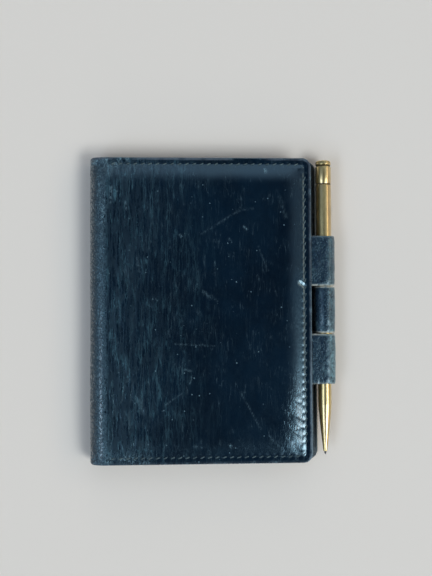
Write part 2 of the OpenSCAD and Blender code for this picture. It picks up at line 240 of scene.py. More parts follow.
class Recipe:
    # A node tree that is written down step by step
    def __init__(self, tree):
        self.tree, self.spot = tree, None
        tree.nodes.clear()

    def put(self, socket, value):
        if isinstance(value, Wire):
            self.tree.links.new(value.socket, socket)
        elif socket.type == "RGBA":
            socket.default_value = (*value, 1.0)
        else:
            socket.default_value = value

    def add(self, kind, settings, sockets, output=0):
        node = self.tree.nodes.new("ShaderNode" + kind)
        for key, value in settings.items():
            setattr(node, key, value)
        for key, value in sockets.items():
            self.put(node.inputs[key], value)
        return Wire(self, node.outputs[output]) if node.outputs else None

    def place(self):
        # Object coordinates in millimetres, made at the first call
        if self.spot is None:
            spot = self.add("TexCoord", {}, {}, "Object")
            self.spot = self.add("VectorMath", {"operation": "SCALE"}, {0: spot, "Scale": 1 / mm})
        return self.spot

    def own(self, name):
        # One of the values that the piece's own points carry
        return self.add("Attribute", {"attribute_name": name}, {}, "Fac")

    def parts(self, vector):
        node = self.add("SeparateXYZ", {}, {0: vector}).socket.node
        return [Wire(self, output) for output in node.outputs]

    def noise(self, across, along, deep=None, turn=0.0, detail=2.0, rough=0.5, twist=0.0, move=0.0):
        # Noise on a moved, turned and stretched place; it is as fine in depth as across if nothing is said
        stretch = (across, along, across if deep is None else deep)
        spot = self.add("Mapping", {}, {"Vector": self.place(), "Location": (move, move * 0.7, move * 1.3),
                                        "Rotation": (0, 0, math.radians(turn)), "Scale": stretch})
        return self.add("TexNoise", {}, {"Vector": spot, "Scale": 1.0, "Detail": detail,
                                         "Roughness": rough, "Distortion": twist})

    def cells(self, scale, kind="F1", vector=None):
        vector = self.place() if vector is None else vector
        return self.add("TexVoronoi", {"feature": kind}, {"Vector": vector, "Scale": scale}, "Distance")

    def crackle(self, across, along, turn, warp, move=0.0):
        # Long wavy cells with creases between them: the distance to the nearest crease, 0 on it
        place = self.place()
        wave = self.add("TexNoise", {}, {"Vector": place, "Scale": 0.55, "Detail": 2.0}, "Color")
        spot = self.add("VectorMath", {"operation": "MULTIPLY_ADD"}, {0: wave, 1: (warp,) * 3, 2: place})
        spot = self.add("Mapping", {}, {"Vector": spot, "Location": (move,) * 3,
                                        "Rotation": (0, 0, math.radians(turn)),
                                        "Scale": (1 / across, 1 / along, 1 / across)})
        return self.cells(1.0, "DISTANCE_TO_EDGE", spot)

    def mix(self, amount, low, high):
        sockets = {0: amount, colourLow: low, colourHigh: high}
        return self.add("Mix", {"data_type": "RGBA"}, sockets, colourOut)

    def layers(self, tone, *coats):
        # Coats of (amount, colour), laid over the tone one after the other
        for amount, colour in coats:
            tone = self.mix(amount, tone, colour)
        return tone

    def bump(self, height, depth):
        # depth is the real height in mm of a change of 1
        return self.add("Bump", {}, {"Height": height, "Distance": depth * mm, "Strength": 1.0})


class Finish(Recipe):
    # One material. Values that are the same all over are set on the shader's own sockets.
    def __init__(self, name, **constants):
        self.material = bpy.data.materials.new(name)
        self.material.use_nodes = True
        super().__init__(self.material.node_tree)
        self.shader = self.tree.nodes.new("ShaderNodeBsdfPrincipled")
        out = self.tree.nodes.new("ShaderNodeOutputMaterial")
        self.tree.links.new(self.shader.outputs[0], out.inputs["Surface"])
        for key, value in constants.items():
            self.shader.inputs[key.replace("_", " ")].default_value = value

    def done(self, **links):
        for key, value in links.items():
            self.put(self.shader.inputs[key.replace("_", " ")], value)
        return self.material


dye = {
    "deep": (0.0005, 0.0035, 0.0100), "navy": (0.0013, 0.0080, 0.0190), "scuff": (0.170, 0.275, 0.330),
    "line": (0.050, 0.112, 0.146), "raw": (0.080, 0.088, 0.108), "flesh": (0.400, 0.385, 0.330),
    "loopDark": (0.0075, 0.0160, 0.0340), "loopLight": (0.024, 0.060, 0.078),
    "loopRub": (0.165, 0.280, 0.315),
}


def creasesAt(r, shift, plateWidth, fineWidth):
    # The creases between long plates and the fainter ones between finer cells, all moved by the shift
    plates = r.crackle(1.35, 15.0, 2, 0.8, shift).ease(*plateWidth)
    return plates.most(r.crackle(0.95, 8.0, -5, 0.8, 31.0 + shift).ease(*fineWidth) * 0.6)


def coverLeather():
    # Glazed navy calf: crackled where it has bent, hairline scratches, pale flecks and worn edges. Its
    # creases and splits are painted dark as shade, and the ridges beside the creases and the spine's crackle
    # carry a painted sheen.
    r = Finish("coverLeather", Coat_Roughness=0.10, Coat_IOR=1.5, Specular_IOR_Level=1.0,
               Specular_Tint=(0.48, 0.80, 1.0, 1.0))
    edge, creased, scuff = map(r.own, ("edge", "creased", "scuff"))
    flakeAndSheen, wrinkled, spine = map(r.own, ("flakeAndSheen", "wrinkled", "spine"))
    broad = r.noise(0.05, 0.04, detail=5, rough=0.6)
    patchy = r.noise(0.16, 0.07, detail=6, rough=0.66, move=13)
    grain = r.noise(3.0, 2.0, detail=4, rough=0.62, move=2)
    # upright creases near the spine, painted dark as shade, and a pale line beside each of them as a painted
    # highlight, kept to some stretches
    shadedCreases = creasesAt(r, 0.0, (0.18, 0.05), (0.15, 0.03))
    ridge = creasesAt(r, 0.24, (0.12, 0.02), (0.10, 0.02))
    ridge = ridge * r.noise(0.50, 0.08, detail=4, rough=0.6, move=7).ease(0.44, 0.58)
    speck = r.cells(0.75).ease(0.14, 0.07) * r.noise(0.25, 0.2, detail=3, move=87).ease(0.50, 0.60)
    # the rounded spine's own worming cracks: pale flakes, a painted highlight in the spine's sheen, beside
    # dark splits, which are painted shade
    worm = r.noise(0.62, 0.42, rough=0.6, twist=1.1, move=37).line().ease(0.86, 0.965)
    split = r.crackle(1.25, 1.7, 14, 2.0, 57.0).ease(0.20, 0.06)
    slanted = r.noise(1.45, 0.32, turn=32, detail=1.5, twist=0.6, move=83).line()
    # hairlines in five directions, each kept to some patches
    hairs = 0.0
    for turn, move, power in ((12, 21, 90), (58, 33, 110), (-37, 47, 100), (-74, 58, 120), (86, 69, 120)):
        hair = r.noise(0.65, 0.06, turn=turn, detail=1.0, twist=0.2, move=move).line() ** power
        hairs = hair * r.noise(0.13, 0.13, move=move + 5).ease(0.54, 0.66) + hairs
    fleck = r.cells(0.42).ease(0.17, 0.06) * r.noise(0.3, 0.3, move=77).ease(0.56, 0.64)
    worn = r.noise(1.5, 0.9, detail=6, rough=0.72, move=5)
    # painted sheen: pale teal on the ridges beside the creases, in specks and grain near the spine, and on
    # the spine's worming cracks, where light would catch them
    lit = (patchy.ease(0.38, 0.60) * 0.6 + 0.4) * (ridge + speck * 0.8 + grain.ease(0.50, 0.72) * 0.22)
    paintedSheen = lit * (creased * 0.88 + 0.02) * (1 - spine * 0.6) + spine * worm * patchy.ease(0.42, 0.58) * 0.45
    rubbed = (scuff * (worn.ease(0.44, 0.58) * 0.95 + 0.05)).least(1.0)
    # the spine's pale flakes: partly real flaking, partly a painted highlight along the spine's sheen,
    # brighter towards the tail
    chips = flakeAndSheen * r.noise(1.5, 1.0, detail=4, rough=0.7, twist=1.0, move=51).ease(0.50, 0.60)
    rubbed = rubbed.most(chips.least(1.0))
    # the cut edge: dyed dark, with the raw leather showing where it has rubbed; how much shows is painted
    # lighter towards the tail of the fore-edge and fainter on the back cover, as painted light and shade
    cut = edge * (r.noise(0.20, 0.20, 0.5, detail=5, rough=0.72, move=91).ease(0.34, 0.60) * 0.7 + 0.3)
    crossed, shadedSplits = shadedCreases * creased, split * spine
    # the creases and splits are darkened as painted shade; the pale ridges, specks, worming cracks and the
    # spine's flakes are painted highlight
    tone = r.layers(
        dye["deep"], (broad.ease(0.35, 0.66), dye["navy"]), (paintedSheen.least(1.0), dye["line"]),
        (shadedCreases * (creased * 0.80 + 0.08), dye["deep"]), (shadedSplits * 0.9, dye["deep"]),
        ((hairs * 0.14).least(0.3), dye["scuff"]), (fleck * 0.6, dye["scuff"]), (rubbed * 0.8, dye["scuff"]),
        (cut, dye["raw"]))
    gloss = r.noise(0.5, 0.5, detail=4, rough=0.6, move=40)
    rough = 0.155 + gloss * 0.08 + crossed * 0.15 + shadedSplits * 0.4 + rubbed * 0.35 + cut * 0.3
    height = grain * 0.22 + ridge * creased * 0.8 - shadedCreases * (creased * 1.3 + 0.03) - hairs * 0.2
    height = height + (worm * 2.6 - split * 3.4) * spine + slanted.ease(0.5, 0.98) * wrinkled * 2.6
    coat = 0.42 + wrinkled * 0.55 + spine * 0.5 - rubbed * 0.4 - cut * 0.4 - crossed * 0.2 - shadedSplits * 0.7
    return r.done(Base_Color=tone, Roughness=rough, Coat_Weight=coat.most(0.0), Normal=r.bump(height, 0.013))


def loopLeather():
    # The same leather, rubbed by the hand that pulls the pencil, with pale flesh at its cut ends, and its
    # creases painted dark as shade
    r = Finish("loopLeather", Coat_Roughness=0.16, Specular_IOR_Level=0.70,
               Specular_Tint=(0.5, 0.82, 1.0, 1.0))
    edge, scuff = map(r.own, ("edge", "scuff"))
    patchy = r.noise(0.35, 0.2, detail=6, rough=0.65, move=15)
    pits = r.noise(1.9, 1.5, detail=5, rough=0.72, twist=0.5, move=25)
    shadedCreases = r.crackle(0.8, 1.3, -10, 1.4, 71.0).ease(0.16, 0.02)
    light = patchy.ease(0.36, 0.66) * (scuff * 0.8 + 0.3).least(1.0)
    rubbed = (scuff * (pits.ease(0.46, 0.57) + pits.ease(0.40, 0.52) * 0.35)).least(1.0)
    flesh = edge * (r.noise(0.7, 0.7, detail=5, rough=0.7, move=55).ease(0.36, 0.52) * 0.8 + 0.2)
    # the creases are darkened with the deep dye as painted shade
    tone = r.layers(dye["loopDark"], (light, dye["loopLight"]), (shadedCreases * 0.6, dye["deep"]),
                    (rubbed * 0.85, dye["loopRub"]), (flesh, dye["flesh"]))
    return r.done(Base_Color=tone, Roughness=0.27 + rubbed * 0.3 + flesh * 0.3,
                  Coat_Weight=(0.35 - rubbed * 0.3 - flesh * 0.3).most(0.0),
                  Normal=r.bump(pits * 0.8 - shadedCreases * 0.7, 0.035))


def insideLeather(name, base, lighter, grainSize, depth):
    # Matt lining or smooth pocket leather: fine pebbled grain, a few pull marks and rubbed edges
    r = Finish(name, Specular_IOR_Level=0.24, Coat_Roughness=0.3)
    pebble = r.cells(1 / grainSize, "SMOOTH_F1")
    cloud = r.noise(0.06, 0.06, detail=5, rough=0.6, move=8)
    rub = r.noise(0.8, 0.5, detail=4, rough=0.7, move=18).line() ** 14
    tone = r.layers(base, (cloud.ease(0.35, 0.7), lighter),
                    (rub * 0.25 + pebble.ease(0.5, 0.0) * 0.08, dye["scuff"]),
                    (r.own("edge").ease(0.5, 0.05) * 0.16, dye["scuff"]))
    return r.done(Base_Color=tone, Roughness=0.5 + cloud * 0.12,
                  Coat_Weight=0.12 * cloud.ease(0.3, 0.7), Normal=r.bump(pebble - rub * 0.5, depth))


def threadMaterial(name, base, lighter, pitch):
    # Waxed thread: fine twisted plies across its length
    r = Finish(name, Specular_IOR_Level=0.3)
    across, along, up = r.parts(r.place())
    ply = ((across + along + up) * (2 * math.pi / pitch)).reckon("SINE") * 0.5 + 0.5
    dirt = r.noise(0.6, 0.6, detail=4, rough=0.7).ease(0.35, 0.65)
    tone = r.layers(base, (dirt, lighter), (ply * 0.35, tuple(c * 0.35 for c in base)))
    return r.done(Base_Color=tone, Roughness=0.62 + ply * 0.1, Normal=r.bump(ply, 0.05))


def boardMaterial():
    # Grey pulp board with flecks and a fibrous surface
    r = Finish("coverBoard", Specular_IOR_Level=0.2)
    fibre = r.noise(3, 0.8, detail=5, rough=0.7)
    tone = r.layers((0.34, 0.30, 0.24), (fibre.ease(0.3, 0.7), (0.47, 0.43, 0.35)),
                    (r.cells(1.4).ease(0.2, 0.05) * 0.5, (0.16, 0.13, 0.10)))
    return r.done(Base_Color=tone, Roughness=0.8 + fibre * 0.15, Normal=r.bump(fibre, 0.04))


def cardMaterial():
    # Blue-grey cover card of the refill, with a linen press
    r = Finish("refillCard", Specular_IOR_Level=0.3)
    across, along = r.parts(r.place())[:2]
    weave = (across * 9.0).reckon("SINE") * (along * 9.0).reckon("SINE")
    cloud = r.noise(0.15, 0.15, detail=5, rough=0.65)
    tone = r.layers((0.060, 0.082, 0.120), (cloud.ease(0.3, 0.7), (0.095, 0.120, 0.160)),
                    (weave.ease(0.2, 1.0) * 0.25, (0.16, 0.19, 0.23)))
    return r.done(Base_Color=tone, Roughness=0.6 + cloud * 0.15, Normal=r.bump(weave, 0.03))


def paperMaterial():
    # Cream uncoated paper, faintly ruled every 6 mm beside a margin line, and darker at the leaves' edges
    r = Finish("refillPaper", Specular_IOR_Level=0.2)
    across, along = r.parts(r.place())[:2]
    pulp = r.noise(1.2, 1.2, detail=6, rough=0.7)
    foxing = r.noise(0.05, 0.05, detail=5, rough=0.6, move=4).ease(0.45, 0.75)
    face = r.own("face")
    ruled = ((along + 54.0) / 6.0).reckon("FRACT").line().ease(0.06, 0.02) * along.ease(46.5, 46.4)
    margin = (across + 22.0).size().ease(0.16, 0.08)
    tone = r.layers((0.76, 0.71, 0.58), (foxing * 0.6, (0.66, 0.57, 0.41)),
                    (pulp.ease(0.35, 0.75) * 0.25, (0.60, 0.55, 0.44)),
                    (ruled.most(margin * 0.8) * face * 0.6, (0.30, 0.38, 0.46)),
                    ((1 - face) * 0.35, (0.45, 0.39, 0.28)))
    return r.done(Base_Color=tone, Roughness=0.78 + pulp * 0.15, Normal=r.bump(pulp, 0.02))


def brassMaterial():
    # Thin gilding over brass: lengthwise polish marks, olive tarnish, a rosy rub and painted shade in the
    # grooves and under the end disc
    r = Finish("giltBrass", Metallic=1.0)
    tarnish = r.noise(0.50, 0.16, detail=6, rough=0.65, twist=0.4)
    spots = r.noise(1.2, 0.7, detail=5, rough=0.7, move=12).ease(0.60, 0.74)
    polish = r.noise(14, 0.35, detail=3, rough=0.7, move=6)
    ring = r.noise(0.4, 9.0, move=16)
    rosy = r.noise(0.5, 0.03, detail=3, move=26).ease(0.52, 0.70)
    # painted shade: near black in the cap's grooves and round the foot of the end disc
    paintedShade = r.own("paintedShade")
    tone = r.layers((0.75, 0.59, 0.29), (tarnish.ease(0.36, 0.70), (0.54, 0.42, 0.20)),
                    (rosy * 0.5, (0.58, 0.41, 0.30)), (spots * 0.6, (0.20, 0.145, 0.075)),
                    (paintedShade * 0.85, (0.035, 0.026, 0.014)))
    rough = 0.19 + tarnish * 0.14 + spots * 0.22 + polish * 0.08 + paintedShade * 0.2
    return r.done(Base_Color=tone, Roughness=rough,
                  Normal=r.bump(polish * 0.5 + ring * 0.3 + tarnish * 0.5, 0.006))


def steelMaterial():
    # Drawn steel of the pencil's inside, with a film of oil in patches
    r = Finish("mechanismSteel", Metallic=1.0)
    drawn = r.noise(9, 0.3, detail=3, rough=0.6)
    oil = r.noise(0.5, 0.3, detail=4, move=3).ease(0.4, 0.7)
    return r.done(Base_Color=r.mix(oil * 0.6, (0.55, 0.55, 0.54), (0.34, 0.32, 0.28)),
                  Roughness=0.28 + drawn * 0.15, Normal=r.bump(drawn, 0.006))


def graphiteMaterial():
    r = Finish("graphite", Specular_IOR_Level=0.6)
    rub = r.noise(4, 2, detail=4, rough=0.7)
    return r.done(Base_Color=r.mix(rub.ease(0.3, 0.7), (0.028, 0.028, 0.031), (0.07, 0.07, 0.075)),
                  Roughness=0.34 + rub * 0.2, Normal=r.bump(rub, 0.01))


skinLeather, strapLeather = coverLeather(), loopLeather()
liningLeather = insideLeather("liningLeather", (0.0040, 0.0062, 0.0105), (0.0085, 0.0125, 0.0200), 0.42, 0.05)
pocketLeather = insideLeather("pocketLeather", (0.0050, 0.0095, 0.0170), (0.0110, 0.0185, 0.0290), 0.3, 0.03)
coverThread = threadMaterial("coverThread", (0.036, 0.062, 0.076), (0.092, 0.138, 0.152), 0.7)
foldThread = threadMaterial("foldThread", (0.62, 0.56, 0.44), (0.74, 0.69, 0.58), 0.4)
board, card, paper = boardMaterial(), cardMaterial(), paperMaterial()
brass, steel, graphite = brassMaterial(), steelMaterial(), graphiteMaterial()
print("materials made")


# The cover: one bent sheet, made as two halves that meet at the spine's fold

cover = {
    "height": 125.0, "frontWidth": 84.2, "backWidth": 87.7, "thick": 13.2, "spineR": 6.6, "leather": 1.1,
    "board": 1.2, "border": 3.1, "slope": 8.6, "slopePower": 2.3, "foot": 0.25, "footHalf": 0.5,
    "thumbWear": 3.2, "thumbS": (80, 14), "thumbY": (-50, 15), "corner": 3.8, "cornerFade": 12,
    "domeCorner": 11.0, "domeFrom": (2.4, 9.0), "spineCorner": 1.2, "spineFade": 8, "edgeRound": 0.42,
    "pare": 0.18, "pareReach": 0.3, "endStops": [(61.0, 0.42), (62.1, 0.16), (62.5, 0.05)],
    "foldAside": 0.05, "bendEnd": 7.54,
}
arc = math.pi * cover["spineR"]
backEdge = -arc - cover["backWidth"]


def coverWidth(front):
    return cover["frontWidth"] if front else cover["backWidth"]


def onSheet(s, y, depth):
    # s runs from the front's fore-edge (positive) over the spine, a half circle, to the back's fore-edge
    # (negative), and depth is the distance in from the outer face
    r = cover["spineR"]
    s, y, depth = np.broadcast_arrays(s, y, depth)
    turn = np.clip(-s / r, 0, math.pi)
    x = np.where(s > 0, s, np.where(s < -arc, -s - arc, 0.0)) - (r - depth) * np.sin(turn)
    return np.stack([x, y, r + (r - depth) * np.cos(turn)], -1)


def fromCrease(s):
    # Distance from the nearer crease of the spine, negative between the two
    return np.abs(s + arc / 2) - arc / 2


def roundedBox(s, y, inset, r):
    # Distance in from a rounded rectangle: radius - length of the overhang past the straight parts
    fore = np.maximum(s - (cover["frontWidth"] - inset - r), backEdge + inset + r - s)
    end = np.abs(y) - (cover["height"] / 2 - inset - r)
    over = np.hypot(np.maximum(fore, 0), np.maximum(end, 0))
    return r - over - np.minimum(np.maximum(fore, end), 0), fore - end


def fromEdge(s, y, inset=0.0):
    # Distance in from the sheet's cut edge, and how much nearer the fore-edge is than head or tail.
    # Lines of equal distance have the cut corner's radius at the edge and a wide one on the dome.
    near, side = roundedBox(s, y, inset, cover["corner"] - inset)
    wide = roundedBox(s, y, inset, cover["domeCorner"])[0]
    deep = ease(near, *cover["domeFrom"])
    return near * (1 - deep) + wide * deep, side


def bent(sLine, yLine, inset=0.0, notch=None):
    # A grid over the sheet whose outer lines follow its rounded corners
    s, y = np.meshgrid(sLine, yLine, indexing="ij")
    half, r, fade = cover["height"] / 2 - inset, cover["corner"] - inset, cover["cornerFade"]
    draw = roundInset(np.abs(y) - (half - r), r)
    if notch:
        draw = draw + notch["depth"] * ease(notch["half"] - np.abs(y), -0.5, 0.5)
    front, back = cover["frontWidth"] - inset, backEdge + inset
    s = s - draw * np.clip((s - front) / fade + 1, 0, 1) + draw * np.clip((back - s) / fade + 1, 0, 1)
    left = cover["spineR"] * (1 - np.sin(np.clip(-s / cover["spineR"], 0, math.pi)))
    spineDraw = roundInset(cover["spineCorner"] - left, cover["spineCorner"])
    y = y - np.sign(y) * spineDraw * np.clip((np.abs(y) - half) / cover["spineFade"] + 1, 0, 1)
    return s, y


# Places of marks on the front cover: (from s, y, to s, y, half width, strength)
marks = [
    (65, 57.6, 65.4, 56.6, 0.55, 0.9), (56.2, 34.2, 57.4, 32.8, 0.28, 0.8),
    (50, 29.2, 51.3, 27.6, 0.25, 0.7), (39, 31, 54, 40.5, 0.4, 0.3), (54, 40.5, 60, 41.5, 0.45, 0.25),
    (30.2, 30.6, 30.7, 29.9, 0.35, 0.8), (44.3, 20, 44.6, 9.5, 0.2, 0.45), (39.5, 7.6, 42.5, 4.8, 0.5, 0.5),
    (43, 6, 45.2, 3.6, 0.3, 0.35), (28, -13.6, 44, -14.6, 0.22, 0.6), (32, -24, 34.4, -24.6, 0.35, 0.55),
    (34, -29.5, 34.8, -27, 0.35, 0.6), (24, -38.2, 31, -33.4, 0.3, 0.35),
    (54.5, -33.2, 62.8, -48.6, 0.22, 0.45), (50, -54.6, 50.9, -55.6, 0.35, 0.9),
    (35.4, -54.8, 38.6, -55.8, 0.4, 0.5), (79.3, 10.9, 81, 9.9, 0.75, 1), (71, 46, 73.5, 38, 0.8, 0.22),
    (62, 26, 66, 16, 0.25, 0.3), (73, -52, 77, -57, 0.35, 0.5), (66, -51, 70, -55.5, 0.3, 0.45),
    (20.4, 4.6, 20.9, 3.8, 0.3, 0.7), (8, 44, 8.6, 41, 0.4, 0.6), (2.4, 50, 2, 44, 0.6, 0.7),
    (1.6, 55, 3, 58.5, 0.9, 0.55), (12.6, 21.8, 13.6, 16, 0.5, 0.35), (13, -36, 15.2, -41, 1, 0.28),
]
markStrong, markFaint = 0.75, 0.55      # marks weaker than the first are fainter still, by the second


def markAmount(s, y):
    # Pale where the leather is marked: the distance to each mark's middle line, faded over its half width
    total = np.zeros_like(s)
    for s0, y0, s1, y1, half, strength in marks:
        length = (s1 - s0) ** 2 + (y1 - y0) ** 2
        along = np.clip(((s - s0) * (s1 - s0) + (y - y0) * (y1 - y0)) / length, 0, 1)
        away = np.hypot(s - s0 - along * (s1 - s0), y - y0 - along * (y1 - y0))
        strength = strength if strength > markStrong else strength * markFaint
        total = np.maximum(total, strength * bell(away, 0, half))
    return total


seam = {
    "inset": 2.75, "half": 0.5, "depth": 0.13, "pitch": 3.0, "start": 1.5, "pucker": 0.13, "puckerOut": 0.75,
    "swell": 0.07, "swellIn": 0.9,
}
creases = {
    "start": (-2.5, 3.0), "reach": (18.0, 36.0), "across": 2.1, "along": 15.0, "height": 0.085,
    "cornerAt": (75.0, -50.0), "cornerReach": 15.0, "cornerLine": (0.55, 0.83), "cornerHeight": 0.075,
    "waves": 0.10, "dent": 0.35, "dentFrom": 77, "dentY": 10.4, "dentHalf": 3,
}


def boardStep(s, y, d):
    # The step from the flat border up to the dome, steepest at the seam and easing out towards the
    # middle: (1 - t) to a power over the slope. Round the spine it fades with the cosine of the turn,
    # and at the front's lower corner, where the thumb opens it, the slope is worn wider.
    slope, power, past = cover["slope"], cover["slopePower"], d - cover["border"]
    thumb = bell(s, *cover["thumbS"]) * bell(y, *cover["thumbY"])
    t = np.clip(past / (slope + cover["thumbWear"] * thumb), 0, 1)
    foot = cover["foot"] * power / slope * np.clip(1 - np.abs(past) / cover["footHalf"], 0, 1) ** 2
    upright = np.abs(np.cos(np.clip(-s / cover["spineR"], 0, math.pi))) ** 1.5
    return (cover["board"] * (1 - t) ** power - foot) * upright


def relief(s, y):
    # How far the outer face lies in from the sheet's full form: the flat border, the slope up to the
    # dome, the rounded cut edge, the sunk and puckered seam, and the creases
    d, side = fromEdge(s, y)
    distance = fromCrease(s)
    depth = boardStep(s, y, d) + roundInset(cover["edgeRound"] - d, cover["edgeRound"])
    hole = ((1 + np.cos(2 * math.pi * np.where(side > 0, y, distance) / seam["pitch"])) / 2) ** 2
    sunk = seam["depth"] * bell(d, seam["inset"], seam["half"])
    sunk = sunk + seam["pucker"] * bell(d, seam["inset"] - seam["puckerOut"], seam["half"]) * hole
    sunk = sunk - seam["swell"] * bell(d, seam["inset"] + seam["swellIn"], seam["half"]) * (1 - hole)
    depth = depth + sunk * ease(distance, seam["start"] - 1, seam["start"])
    c = creases
    bendy = ease(distance, *c["start"]) * (1 - ease(distance, *c["reach"]))
    u = s / c["across"] + 0.9 * drift(s / 7, y / 9, 3)
    v = y / c["along"] + 0.5 * drift(s / 5 + 3, y / 6, 4)
    patch = 0.45 + 0.55 * ease(drift(s / 11, y / 16, 6), -0.5, 0.5)
    depth = depth + c["height"] * ridges(u, v, 11) * bendy * patch * ease(d, 1.0, 5.0)
    offS, offY = s - c["cornerAt"][0], y - c["cornerAt"][1]
    lineS, lineY = c["cornerLine"]
    tilt, cross = offS * lineS + offY * lineY, offS * lineY - offY * lineS      # wrinkles towards the corner
    near = bell(np.hypot(offS, offY), 0, c["cornerReach"]) * ease(d, 2.6, 5.5)
    depth = depth + c["cornerHeight"] * ridges(tilt / 2.6, cross / 9, 21) * near
    wave = drift(s / 16 + 5, y / 19, 31) + 0.4 * drift(s / 6, y / 7.5, 32)
    depth = depth + c["waves"] * wave * ease(d, 2.0, 12.0)
    dented = (np.abs(y - c["dentY"]) < c["dentHalf"]) * (s > c["dentFrom"])     # by the top loop
    return depth + c["dent"] * markAmount(s, y) ** 2 * dented


wear = {
    "cutEdge": (0.75, 1.25), "backRimShaded": 0.1, "brim": 0.45, "corner": 0.5, "cornerAt": (78.0, -57.0),
    "cornerReach": 4.0, "band": (-2.4, 1.9), "bandFlakeSheen": 0.42, "tailFlakeSheen": 0.72, "upperFlakeSheen": 0.85,
    "upperY": (42.0, 9.0), "upperBand": (-1.4, 1.5), "endFlake": 0.95, "wrinkleAt": (78.0, -44.0),
    "wrinkleReach": (9.0, 17.0), "wrinkleBand": (79.0, 4.0), "wrinkleFaint": 0.35, "backWrinkle": 0.12,
}


def skinValues(s, y):
    # Where the leather is cut, creased, rubbed, flaking and wrinkled, each from 0 to 1. The cut edge's amount
    # carries painted light and shade, and the spine's flakes carry a painted sheen.
    w = wear
    d, side = fromEdge(s, y)
    distance = fromCrease(s)
    front = s > -arc / 2
    fade = np.clip(1 - (distance - 8) / 46 - 0.10 * drift(s / 9, y / 12, 47), 0, 1)
    creased = ease(distance, -4.0, 2.0) * fade ** 1.7
    creased = np.maximum(creased, 0.7 * ease(distance, -7.5, -2.0) * (1 - ease(distance, 2, 8)))
    headRim = 0.75 * ease(drift(s / 7, y / 7, 40), -0.35, 0.25)
    # The cut edge's pale amount: on the fore-edge it grows towards the tail, painted light from the lower
    # right; on the back cover it stays faint, painted shade under the front cover's edge.
    rim = np.where(side > 0, 0.45 + 0.5 * ease(-y, -10, 55), np.where(y > 0, headRim, 0.15))
    edge = (1 - ease(d, *w["cutEdge"])) * np.where(front, rim, w["backRimShaded"])
    brim = w["brim"] * (1 - ease(d, 0.3, 1.6)) * ease(drift(s / 3, y / 3, 41), 0.0, 0.7)
    corner = bell(np.hypot(s - w["cornerAt"][0], y - w["cornerAt"][1]), 0, w["cornerReach"])
    corner = w["corner"] * corner * ease(drift(s / 1.2, y / 1.2, 44), 0.0, 0.7)
    scuff = np.maximum.reduce([brim, corner, np.where(front, markAmount(s, y), 0)])
    # flakes along the spine's band, and those high on it, are partly painted highlight where the spine's
    # sheen runs, growing towards the tail; those at the spine's ends are wear
    band = bell(distance, *w["band"])
    ends = w["endFlake"] * ease(np.abs(y), 56.0, 61.5) * (1 - ease(distance, 3, 24))
    ends = ends * ease(drift(s / 2, y / 2, 46), -0.7, 0.3)
    upper = w["upperFlakeSheen"] * bell(y, *w["upperY"]) * bell(distance, *w["upperBand"])
    flakeAndSheen = np.maximum.reduce([w["bandFlakeSheen"] * band, w["tailFlakeSheen"] * band * ease(-y, 5, 45), upper, ends])
    wideS, wideY = w["wrinkleReach"]
    wrinkled = bell(np.hypot((s - w["wrinkleAt"][0]) / wideS, (y - w["wrinkleAt"][1]) / wideY), 0, 1)
    wrinkled = np.maximum(wrinkled, w["wrinkleFaint"] * bell(s, *w["wrinkleBand"])) * ease(d, 2.6, 4.0)
    return {"edge": edge, "creased": creased, "scuff": scuff, "flakeAndSheen": flakeAndSheen,
            "spine": ease(distance, 1.6, -1.6), "wrinkled": np.where(front, wrinkled, w["backWrinkle"])}


def makeSkin(name, sStops, bend, replaced):
    s, y = bent(spread(sStops), spread(bothSides(cover["endStops"])))
    outer = onSheet(s, y, relief(s, y))
    d = fromEdge(s, y)[0]
    pared = cover["pare"] * (1 - ease(d, 0, cover["pareReach"]))
    inner = onSheet(s, y, boardStep(s, y, d) + cover["leather"] - pared)
    # normals at the fold come from the sheet itself, so that the light runs on over it
    row, aside = bend["foldRow"], cover["foldAside"]
    near, far = (onSheet(s[row] + off, y[row], relief(s[row] + off, y[row])) for off in (aside, -aside))
    normals = np.cross(near - far, np.gradient(outer[row], axis=0))
    normals = normals / np.linalg.norm(normals, axis=1, keepdims=True)
    fold = np.arange(s.size).reshape(s.shape)[row]
    addSheet(name, outer, inner, skinLeather, None, "cover_leather", replaced, skinValues(s, y),
             seams=(fold, normals), blend=bend)


# Each half's blend runs from its cover to the fold along the chord of its quarter of the spine; addPiece
# works out its start and end but does not use them, so the half keeps its closed shape, and the fold row sets
# the normals at the fold
bendEnd, high, foreEdge = cover["bendEnd"], cover["thick"], cover["frontWidth"]
frontBend = {"bodies": ("spine_strip_2", "front_cover"), "start": (-bendEnd, high - bendEnd),
             "end": (0, high), "foldRow": 0}
backBend = {"bodies": ("back_cover", "spine_strip_1"), "start": (0, 0), "end": (-bendEnd, bendEnd),
            "foldRow": -1}
makeSkin("front_cover_skin",
         [(-arc / 2, 0.27), (0, 0.30), (34, 0.32), (41, 0.5), (71, 0.5), (75, 0.32), (foreEdge - 1, 0.32),
          (foreEdge - 0.4, 0.14), (foreEdge, 0.05)], frontBend, ["front_leather", "spine_leather_2"])
makeSkin("back_cover_skin",
         [(backEdge, 0.05), (backEdge + 0.4, 0.14), (backEdge + 1, 0.34), (backEdge + 10, 0.45),
          (-arc - 36, 0.6), (-arc, 0.36), (-arc / 2, 0.27)], backBend, ["back_leather", "spine_leather_1"])
print("cover skins made")


# Linings and pockets

inside = {
    "edgeStep": 0.4, "liningFace": 3.0, "spineFace": 1.8, "lining": 0.67, "round": 0.22, "pocketFace": 4.1,
    "pocketBack": 3.03, "pocketStart": 30.0, "cardEnd": 80.95, "cardHalf": 58.7, "recess": 0.46,
    "mouthLine": 2.4, "mouthHalf": 0.28, "mouthDepth": 0.12, "mouthEnd": 57, "seamDepth": 0.10,
    "seamHalf": 0.4,
    "liningEnds": [(50, 1.1), (61.4, 0.7), (62.1, 0.12)],
    "pocketEnds": [(54, 0.7), (61.6, 0.35), (62.1, 0.1)],
}


